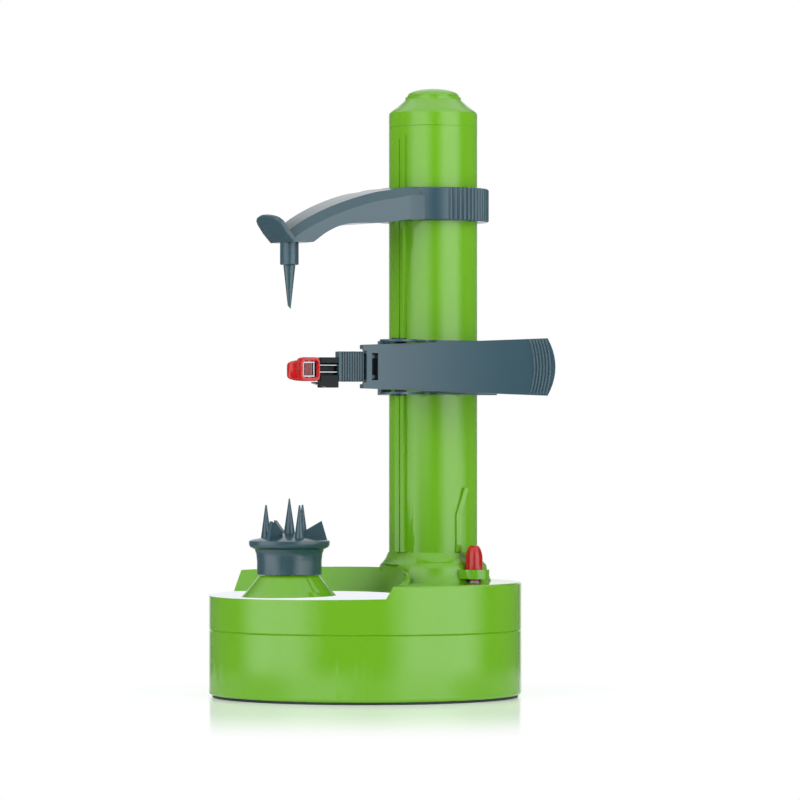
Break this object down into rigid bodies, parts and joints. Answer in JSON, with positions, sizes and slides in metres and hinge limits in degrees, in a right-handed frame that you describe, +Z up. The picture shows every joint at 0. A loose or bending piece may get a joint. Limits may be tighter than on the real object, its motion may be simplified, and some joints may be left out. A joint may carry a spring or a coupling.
{
  "type": "electric potato peeler",
  "caption": "Battery potato peeler: round base with dish, spiked turntable cup, round column, sprung blade lever on a screw-driven carriage and a sliding arm with a spike.",
  "frame": {"origin": "centre of the round base on the surface it stands on", "axes": "+Z up the column, +X from the turntable to the column"},
  "size_m": [0.135, 0.135, 0.2638],
  "materials": {
    "green_plastic": "gloss moulded",
    "grey_plastic": "satin moulded",
    "black_plastic": "satin moulded",
    "black_rubber": "matte",
    "red_plastic": "gloss moulded",
    "white_plastic": "moulded acetal",
    "steel": "ground and polished",
    "dark_steel": "blackened",
    "brass": "machined",
    "cell_wrap": "plain printed film"
  },
  "bodies": {
    "base": {"foot_ring": "black_rubber", "base_lower_shell": "green_plastic", "battery_cover": "green_plastic", "battery_tray": "black_plastic", "battery_cells": "cell_wrap", "battery_contacts": "steel", "gear_plate": "white_plastic", "gear_axles": "steel", "motor_can": "steel", "spindle_bush": "white_plastic", "screw_bush": "white_plastic", "base_upper_shell": "green_plastic", "shell_screws": "steel", "column_tube": "green_plastic", "column_cap": "green_plastic", "start_switch": "black_plastic", "button_spring": "steel"},
    "motor_shaft": {"motor_pinion": "brass"},
    "compound": {"compound_gear": "white_plastic"},
    "idler": {"idler_gear": "white_plastic"},
    "turntable": {"turntable_gear": "white_plastic", "turntable_spindle": "steel", "food_cup": "grey_plastic"},
    "screw": {"screw_gear": "white_plastic", "lead_screw": "steel"},
    "button": {"start_button": "green_plastic"},
    "carriage": {"carriage_body": "grey_plastic", "pivot_pin": "dark_steel", "lever_spring": "steel"},
    "nut": {"half_nut": "white_plastic"},
    "lever": {"lever_cover": "grey_plastic", "lever_channel": "grey_plastic"},
    "cartridge": {"cartridge_grip": "grey_plastic", "cartridge_bracket": "black_plastic", "cartridge_pins": "steel", "blade_yoke": "red_plastic"},
    "blade": {"peel_blade": "steel"},
    "arm": {"upper_arm": "grey_plastic"},
    "spike": {"upper_spike": "grey_plastic"},
    "knife": {"knife_handle": "red_plastic", "knife_blade": "steel"}
  },
  "joints": [
    {"name": "carriage_slide", "type": "slide", "parent": "base", "child": "carriage", "axis": [0, 0, 1], "range_m": [-0.05, 0.018]},
    {"name": "screw_spin", "type": "hinge", "parent": "base", "child": "screw", "pos_m": [0.0353, 0, 0], "axis": [0, 0, 1], "continuous": true},
    {"name": "turntable_spin", "type": "hinge", "parent": "base", "child": "turntable", "pos_m": [-0.0387, 0, 0], "axis": [0, 0, 1], "continuous": true},
    {"name": "idler_spin", "type": "hinge", "parent": "base", "child": "idler", "pos_m": [-0.0087, 0, 0], "axis": [0, 0, 1], "continuous": true},
    {"name": "compound_spin", "type": "hinge", "parent": "base", "child": "compound", "pos_m": [-0.0087, 0.024, 0], "axis": [0, 0, 1], "continuous": true},
    {"name": "motor_spin", "type": "hinge", "parent": "base", "child": "motor_shaft", "pos_m": [-0.0087, 0.0464, 0], "axis": [0, 0, 1], "continuous": true},
    {"name": "arm_slide", "type": "slide", "parent": "base", "child": "arm", "axis": [0, 0, 1], "range_m": [-0.022, 0.018]},
    {"name": "upper_spike_spin", "type": "hinge", "parent": "arm", "child": "spike", "pos_m": [-0.0387, 0, 0], "axis": [0, 0, 1], "continuous": true},
    {"name": "lever_swing", "type": "hinge", "parent": "carriage", "child": "lever", "pos_m": [0.0013, -0.0243, 0.142], "axis": [0, 0, 1], "range_deg": [0, 22], "stiffness_Nm_per_rad": 0.05, "springref_deg": -17.19},
    {"name": "nut_release", "type": "slide", "parent": "carriage", "child": "nut", "axis": [0, 1, 0], "range_m": [0, 0.0016], "stiffness_N_per_m": 600, "springref_m": -0.001},
    {"name": "cartridge_pull", "type": "slide", "parent": "lever", "child": "cartridge", "axis": [-0.9511, 0.309, 0], "range_m": [0, 0.012]},
    {"name": "blade_swivel", "type": "hinge", "parent": "cartridge", "child": "blade", "pos_m": [-0.0378, -0.01391, 0.1408], "axis": [0, 0, 1], "range_deg": [-15, 15]},
    {"name": "start_press", "type": "slide", "parent": "base", "child": "button", "axis": [0, 0, -1], "range_m": [0, 0.0025], "stiffness_N_per_m": 300, "springref_m": -0.003, "deforming": ["button_spring"]},
    {"name": "knife_lift", "type": "slide", "parent": "base", "child": "knife", "axis": [0, 0, 1], "range_m": [0, 0.014]}
  ],
  "couplings": [
    {"joint": "screw_spin", "follows": "carriage_slide", "rad_per_m": -628.32},
    {"joint": "turntable_spin", "follows": "carriage_slide", "rad_per_m": -1508},
    {"joint": "idler_spin", "follows": "carriage_slide", "rad_per_m": 753.98},
    {"joint": "compound_spin", "follows": "carriage_slide", "rad_per_m": -3769.9},
    {"joint": "motor_spin", "follows": "carriage_slide", "rad_per_m": 17342}
  ]
}
